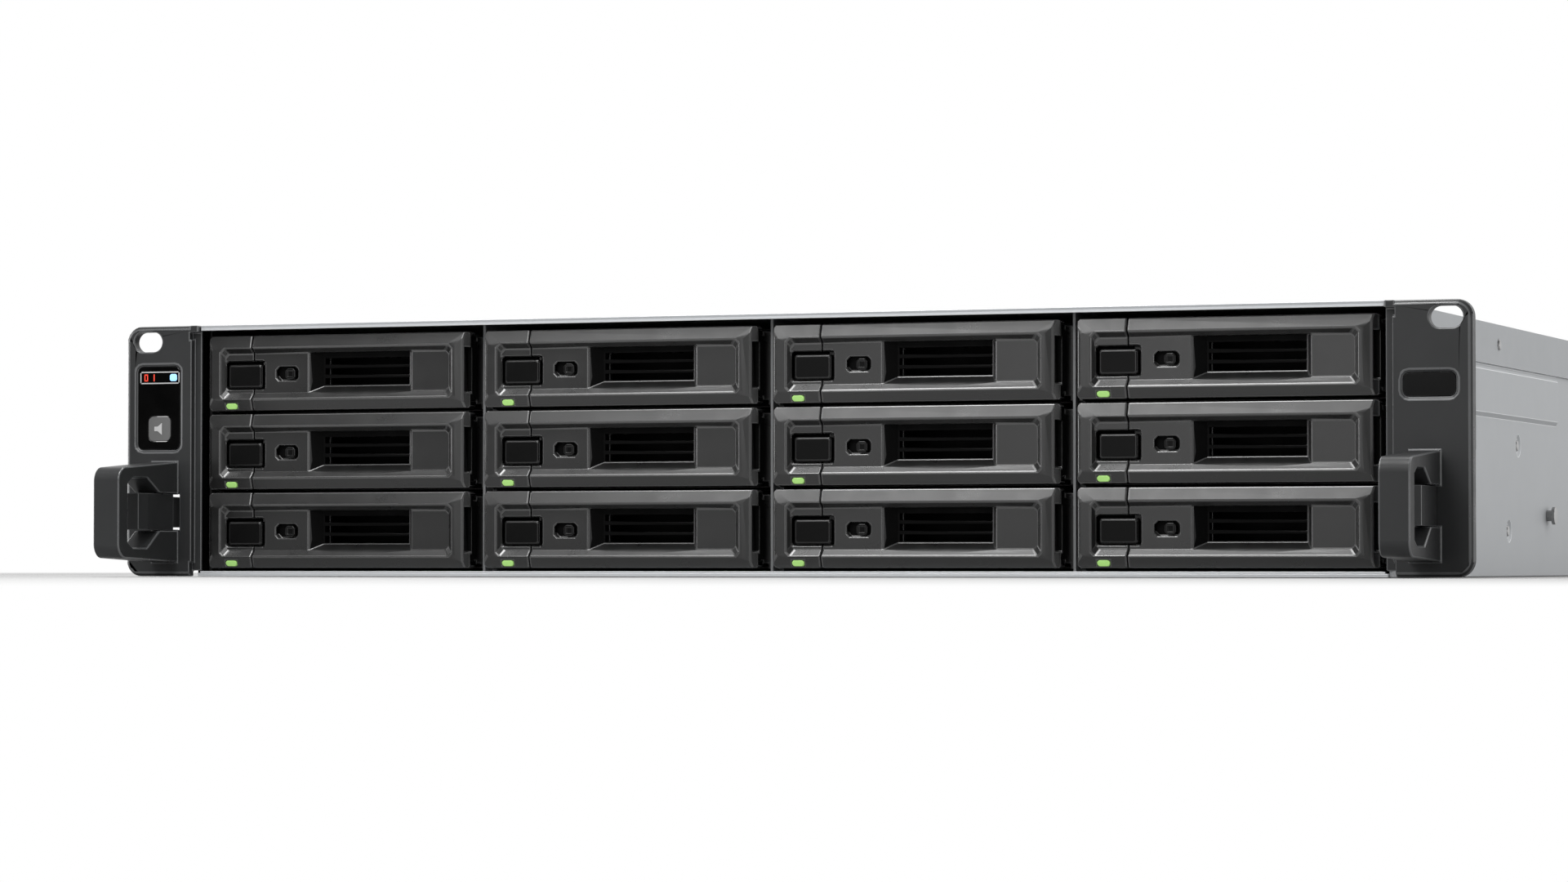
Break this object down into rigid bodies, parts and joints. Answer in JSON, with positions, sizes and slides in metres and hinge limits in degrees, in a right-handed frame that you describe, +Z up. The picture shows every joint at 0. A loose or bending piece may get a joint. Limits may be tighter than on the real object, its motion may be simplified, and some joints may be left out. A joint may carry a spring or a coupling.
{
  "type": "disk shelf enclosure",
  "caption": "Rack-mount disk shelf with sliding hot-swap drive trays behind swing handles, ears with pull grips, and removable power and expander modules at the rear.",
  "frame": {"origin": "under the middle of the whole shelf, on the plane of its underside", "axes": "+Z up, front with the drive trays towards -Y, +X to the right when facing the front"},
  "size_m": [0.4826, 0.724, 0.0881],
  "materials": {
    "shell_grey": "fine satin light grey coat on sheet steel",
    "zinc_steel": "zinc-plated sheet steel",
    "ear_black": "satin black",
    "tray_plastic": "fine-textured charcoal moulding",
    "button_plastic": "smooth black moulding",
    "button_grey": "smooth grey moulding",
    "window_black": "polished black",
    "board": "green solder mask",
    "fan_black": "satin black moulding",
    "release_plastic": "satin teal touch point",
    "screw_steel": "bright zinc",
    "drive_metal": "cast and machined aluminium",
    "lamp_lens": "lit lens"
  },
  "bodies": {
    "chassis": {"chassis_base": "shell_grey", "top_cover": "shell_grey", "drive_cage": "zinc_steel", "backplane": "board", "fan_wall": "fan_black", "ear_left": "ear_black", "ear_right": "ear_black", "control_window": "window_black", "screws": "screw_steel"},
    "tray_01": {"tray_01": "tray_plastic"},
    "handle_01": {"tray_handle_01": "tray_plastic"},
    "button_01": {"release_button_01": "button_plastic"},
    "tray_02": {"tray_02": "tray_plastic"},
    "handle_02": {"tray_handle_02": "tray_plastic"},
    "button_02": {"release_button_02": "button_plastic"},
    "tray_03": {"tray_03": "tray_plastic"},
    "handle_03": {"tray_handle_03": "tray_plastic"},
    "button_03": {"release_button_03": "button_plastic"},
    "tray_04": {"tray_04": "tray_plastic"},
    "handle_04": {"tray_handle_04": "tray_plastic"},
    "button_04": {"release_button_04": "button_plastic"},
    "tray_05": {"tray_05": "tray_plastic"},
    "handle_05": {"tray_handle_05": "tray_plastic"},
    "button_05": {"release_button_05": "button_plastic"},
    "tray_06": {"tray_06": "tray_plastic"},
    "handle_06": {"tray_handle_06": "tray_plastic"},
    "button_06": {"release_button_06": "button_plastic"},
    "tray_07": {"tray_07": "tray_plastic"},
    "handle_07": {"tray_handle_07": "tray_plastic"},
    "button_07": {"release_button_07": "button_plastic"},
    "tray_08": {"tray_08": "tray_plastic"},
    "handle_08": {"tray_handle_08": "tray_plastic"},
    "button_08": {"release_button_08": "button_plastic"},
    "tray_09": {"tray_09": "tray_plastic"},
    "handle_09": {"tray_handle_09": "tray_plastic"},
    "button_09": {"release_button_09": "button_plastic"},
    "tray_10": {"tray_10": "tray_plastic"},
    "handle_10": {"tray_handle_10": "tray_plastic"},
    "button_10": {"release_button_10": "button_plastic"},
    "tray_11": {"tray_11": "tray_plastic"},
    "handle_11": {"tray_handle_11": "tray_plastic"},
    "button_11": {"release_button_11": "button_plastic"},
    "tray_12": {"tray_12": "tray_plastic"},
    "handle_12": {"tray_handle_12": "tray_plastic"},
    "button_12": {"release_button_12": "button_plastic"},
    "fan_1": {"fan_rotor_1": "fan_black"},
    "fan_2": {"fan_rotor_2": "fan_black"},
    "fan_3": {"fan_rotor_3": "fan_black"},
    "fan_4": {"fan_rotor_4": "fan_black"},
    "latch_right": {"ear_latch_right": "ear_black"},
    "latch_left": {"ear_latch_left": "ear_black"},
    "mute": {"mute_button": "button_grey"},
    "psu_1": {"power_supply_1": "zinc_steel"},
    "psu_tab_1": {"psu_release_1": "release_plastic"},
    "io_1": {"io_module_1": "zinc_steel"},
    "io_lever_1": {"io_lever_1": "release_plastic"},
    "psu_2": {"power_supply_2": "zinc_steel"},
    "psu_tab_2": {"psu_release_2": "release_plastic"},
    "io_2": {"io_module_2": "zinc_steel"},
    "io_lever_2": {"io_lever_2": "release_plastic"}
  },
  "joints": [
    {"name": "tray_slide_01", "type": "slide", "parent": "chassis", "child": "tray_01", "axis": [0, -1, 0], "range_m": [0, 0.16]},
    {"name": "handle_swing_01", "type": "hinge", "parent": "tray_01", "child": "handle_01", "pos_m": [-0.11285, -0.312, 0.07118], "axis": [0, 0, 1], "range_deg": [0, 55]},
    {"name": "button_press_01", "type": "slide", "parent": "tray_01", "child": "button_01", "axis": [0, 1, 0], "range_m": [0, 0.0018], "stiffness_N_per_m": 600},
    {"name": "tray_slide_02", "type": "slide", "parent": "chassis", "child": "tray_02", "axis": [0, -1, 0], "range_m": [0, 0.16]},
    {"name": "handle_swing_02", "type": "hinge", "parent": "tray_02", "child": "handle_02", "pos_m": [-0.00635, -0.312, 0.07118], "axis": [0, 0, 1], "range_deg": [0, 55]},
    {"name": "button_press_02", "type": "slide", "parent": "tray_02", "child": "button_02", "axis": [0, 1, 0], "range_m": [0, 0.0018], "stiffness_N_per_m": 600},
    {"name": "tray_slide_03", "type": "slide", "parent": "chassis", "child": "tray_03", "axis": [0, -1, 0], "range_m": [0, 0.16]},
    {"name": "handle_swing_03", "type": "hinge", "parent": "tray_03", "child": "handle_03", "pos_m": [0.10015, -0.312, 0.07118], "axis": [0, 0, 1], "range_deg": [0, 55]},
    {"name": "button_press_03", "type": "slide", "parent": "tray_03", "child": "button_03", "axis": [0, 1, 0], "range_m": [0, 0.0018], "stiffness_N_per_m": 600},
    {"name": "tray_slide_04", "type": "slide", "parent": "chassis", "child": "tray_04", "axis": [0, -1, 0], "range_m": [0, 0.16]},
    {"name": "handle_swing_04", "type": "hinge", "parent": "tray_04", "child": "handle_04", "pos_m": [0.20665, -0.312, 0.07118], "axis": [0, 0, 1], "range_deg": [0, 55]},
    {"name": "button_press_04", "type": "slide", "parent": "tray_04", "child": "button_04", "axis": [0, 1, 0], "range_m": [0, 0.0018], "stiffness_N_per_m": 600},
    {"name": "tray_slide_05", "type": "slide", "parent": "chassis", "child": "tray_05", "axis": [0, -1, 0], "range_m": [0, 0.16]},
    {"name": "handle_swing_05", "type": "hinge", "parent": "tray_05", "child": "handle_05", "pos_m": [-0.11285, -0.312, 0.04362], "axis": [0, 0, 1], "range_deg": [0, 55]},
    {"name": "button_press_05", "type": "slide", "parent": "tray_05", "child": "button_05", "axis": [0, 1, 0], "range_m": [0, 0.0018], "stiffness_N_per_m": 600},
    {"name": "tray_slide_06", "type": "slide", "parent": "chassis", "child": "tray_06", "axis": [0, -1, 0], "range_m": [0, 0.16]},
    {"name": "handle_swing_06", "type": "hinge", "parent": "tray_06", "child": "handle_06", "pos_m": [-0.00635, -0.312, 0.04362], "axis": [0, 0, 1], "range_deg": [0, 55]},
    {"name": "button_press_06", "type": "slide", "parent": "tray_06", "child": "button_06", "axis": [0, 1, 0], "range_m": [0, 0.0018], "stiffness_N_per_m": 600},
    {"name": "tray_slide_07", "type": "slide", "parent": "chassis", "child": "tray_07", "axis": [0, -1, 0], "range_m": [0, 0.16]},
    {"name": "handle_swing_07", "type": "hinge", "parent": "tray_07", "child": "handle_07", "pos_m": [0.10015, -0.312, 0.04362], "axis": [0, 0, 1], "range_deg": [0, 55]},
    {"name": "button_press_07", "type": "slide", "parent": "tray_07", "child": "button_07", "axis": [0, 1, 0], "range_m": [0, 0.0018], "stiffness_N_per_m": 600},
    {"name": "tray_slide_08", "type": "slide", "parent": "chassis", "child": "tray_08", "axis": [0, -1, 0], "range_m": [0, 0.16]},
    {"name": "handle_swing_08", "type": "hinge", "parent": "tray_08", "child": "handle_08", "pos_m": [0.20665, -0.312, 0.04362], "axis": [0, 0, 1], "range_deg": [0, 55]},
    {"name": "button_press_08", "type": "slide", "parent": "tray_08", "child": "button_08", "axis": [0, 1, 0], "range_m": [0, 0.0018], "stiffness_N_per_m": 600},
    {"name": "tray_slide_09", "type": "slide", "parent": "chassis", "child": "tray_09", "axis": [0, -1, 0], "range_m": [0, 0.16]},
    {"name": "handle_swing_09", "type": "hinge", "parent": "tray_09", "child": "handle_09", "pos_m": [-0.11285, -0.312, 0.01607], "axis": [0, 0, 1], "range_deg": [0, 55]},
    {"name": "button_press_09", "type": "slide", "parent": "tray_09", "child": "button_09", "axis": [0, 1, 0], "range_m": [0, 0.0018], "stiffness_N_per_m": 600},
    {"name": "tray_slide_10", "type": "slide", "parent": "chassis", "child": "tray_10", "axis": [0, -1, 0], "range_m": [0, 0.16]},
    {"name": "handle_swing_10", "type": "hinge", "parent": "tray_10", "child": "handle_10", "pos_m": [-0.00635, -0.312, 0.01607], "axis": [0, 0, 1], "range_deg": [0, 55]},
    {"name": "button_press_10", "type": "slide", "parent": "tray_10", "child": "button_10", "axis": [0, 1, 0], "range_m": [0, 0.0018], "stiffness_N_per_m": 600},
    {"name": "tray_slide_11", "type": "slide", "parent": "chassis", "child": "tray_11", "axis": [0, -1, 0], "range_m": [0, 0.16]},
    {"name": "handle_swing_11", "type": "hinge", "parent": "tray_11", "child": "handle_11", "pos_m": [0.10015, -0.312, 0.01607], "axis": [0, 0, 1], "range_deg": [0, 55]},
    {"name": "button_press_11", "type": "slide", "parent": "tray_11", "child": "button_11", "axis": [0, 1, 0], "range_m": [0, 0.0018], "stiffness_N_per_m": 600},
    {"name": "tray_slide_12", "type": "slide", "parent": "chassis", "child": "tray_12", "axis": [0, -1, 0], "range_m": [0, 0.16]},
    {"name": "handle_swing_12", "type": "hinge", "parent": "tray_12", "child": "handle_12", "pos_m": [0.20665, -0.312, 0.01607], "axis": [0, 0, 1], "range_deg": [0, 55]},
    {"name": "button_press_12", "type": "slide", "parent": "tray_12", "child": "button_12", "axis": [0, 1, 0], "range_m": [0, 0.0018], "stiffness_N_per_m": 600},
    {"name": "fan_spin_1", "type": "hinge", "parent": "chassis", "child": "fan_1", "pos_m": [-0.15975, -0.0905, 0.04405], "axis": [0, 1, 0], "continuous": true},
    {"name": "fan_spin_2", "type": "hinge", "parent": "chassis", "child": "fan_2", "pos_m": [-0.05325, -0.0905, 0.04405], "axis": [0, 1, 0], "continuous": true},
    {"name": "fan_spin_3", "type": "hinge", "parent": "chassis", "child": "fan_3", "pos_m": [0.05325, -0.0905, 0.04405], "axis": [0, 1, 0], "continuous": true},
    {"name": "fan_spin_4", "type": "hinge", "parent": "chassis", "child": "fan_4", "pos_m": [0.15975, -0.0905, 0.04405], "axis": [0, 1, 0], "continuous": true},
    {"name": "latch_press_right", "type": "hinge", "parent": "chassis", "child": "latch_right", "pos_m": [0.2256, -0.3265, 0.02255], "axis": [0, 0, 1], "range_deg": [0, 10], "stiffness_Nm_per_rad": 0.1},
    {"name": "latch_press_left", "type": "hinge", "parent": "chassis", "child": "latch_left", "pos_m": [-0.2256, -0.3265, 0.02255], "axis": [0, 0, -1], "range_deg": [0, 10], "stiffness_Nm_per_rad": 0.1},
    {"name": "mute_press", "type": "slide", "parent": "chassis", "child": "mute", "axis": [0, 1, 0], "range_m": [0, 0.001], "stiffness_N_per_m": 800},
    {"name": "psu_slide_1", "type": "slide", "parent": "chassis", "child": "psu_1", "axis": [0, 1, 0], "range_m": [0, 0.22]},
    {"name": "psu_tab_push_1", "type": "slide", "parent": "psu_1", "child": "psu_tab_1", "axis": [1, 0, 0], "range_m": [0, 0.0025], "stiffness_N_per_m": 500},
    {"name": "io_slide_1", "type": "slide", "parent": "chassis", "child": "io_1", "axis": [0, 1, 0], "range_m": [0, 0.24]},
    {"name": "io_lever_swing_1", "type": "hinge", "parent": "io_1", "child": "io_lever_1", "pos_m": [0.09255, 0.3505, 0.0121], "axis": [0, 0, -1], "range_deg": [0, 70]},
    {"name": "psu_slide_2", "type": "slide", "parent": "chassis", "child": "psu_2", "axis": [0, 1, 0], "range_m": [0, 0.22]},
    {"name": "psu_tab_push_2", "type": "slide", "parent": "psu_2", "child": "psu_tab_2", "axis": [1, 0, 0], "range_m": [0, 0.0025], "stiffness_N_per_m": 500},
    {"name": "io_slide_2", "type": "slide", "parent": "chassis", "child": "io_2", "axis": [0, 1, 0], "range_m": [0, 0.24]},
    {"name": "io_lever_swing_2", "type": "hinge", "parent": "io_2", "child": "io_lever_2", "pos_m": [0.09255, 0.3505, 0.05565], "axis": [0, 0, -1], "range_deg": [0, 70]}
  ]
}
